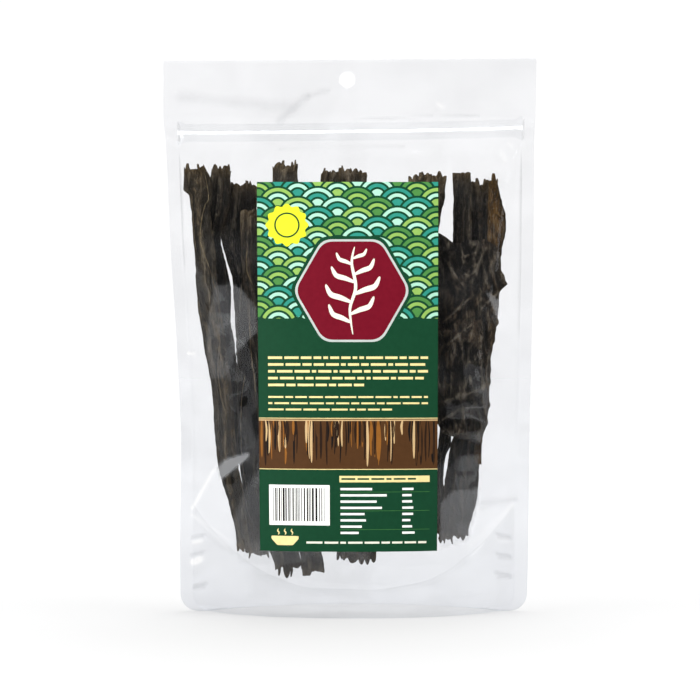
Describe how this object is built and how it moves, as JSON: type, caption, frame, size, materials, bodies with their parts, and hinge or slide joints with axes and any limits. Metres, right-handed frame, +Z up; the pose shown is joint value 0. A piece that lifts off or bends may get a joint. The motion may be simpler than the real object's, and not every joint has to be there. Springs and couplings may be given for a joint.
{
  "type": "pouch of dried wakame",
  "caption": "Long fronds of dried wakame, folded into dark strips, in a clear sealed stand-up pouch with a press-to-close strip, a hang hole and a tall front label.",
  "frame": {"origin": "centre of the bounding box, at the bottom rim that the pouch stands on", "axes": "+Z up along the pouch, +X to the viewer's right of the labelled front, which faces -Y"},
  "size_m": [0.1904, 0.0624, 0.282],
  "materials": {
    "film": "clear glossy film",
    "gusset_film": "clear glossy film, folded",
    "zip": "clear extruded plastic",
    "label": "printed, glossy",
    "wakame": "dried seaweed, dark, leathery",
    "wakame_blade": "dried seaweed, thin, brown where light comes through",
    "wakame_leaf": "dried seaweed, dark, crumpled sheet"
  },
  "bodies": {
    "root": {"film_front": "film", "film_back": "film", "gusset": "gusset_film", "zip_rib": "zip", "zip_channel": "zip", "label": "label", "frond_left_outer": "wakame", "frond_left_inner": "wakame", "frond_left_back": "wakame", "frond_left_front": "wakame", "frond_middle_left": "wakame", "frond_middle": "wakame", "frond_middle_front": "wakame", "frond_middle_right": "wakame", "frond_right_stalk": "wakame", "frond_right_inner": "wakame", "frond_right_blade": "wakame_blade", "leaf_right": "wakame_leaf"}
  },
  "joints": []
}
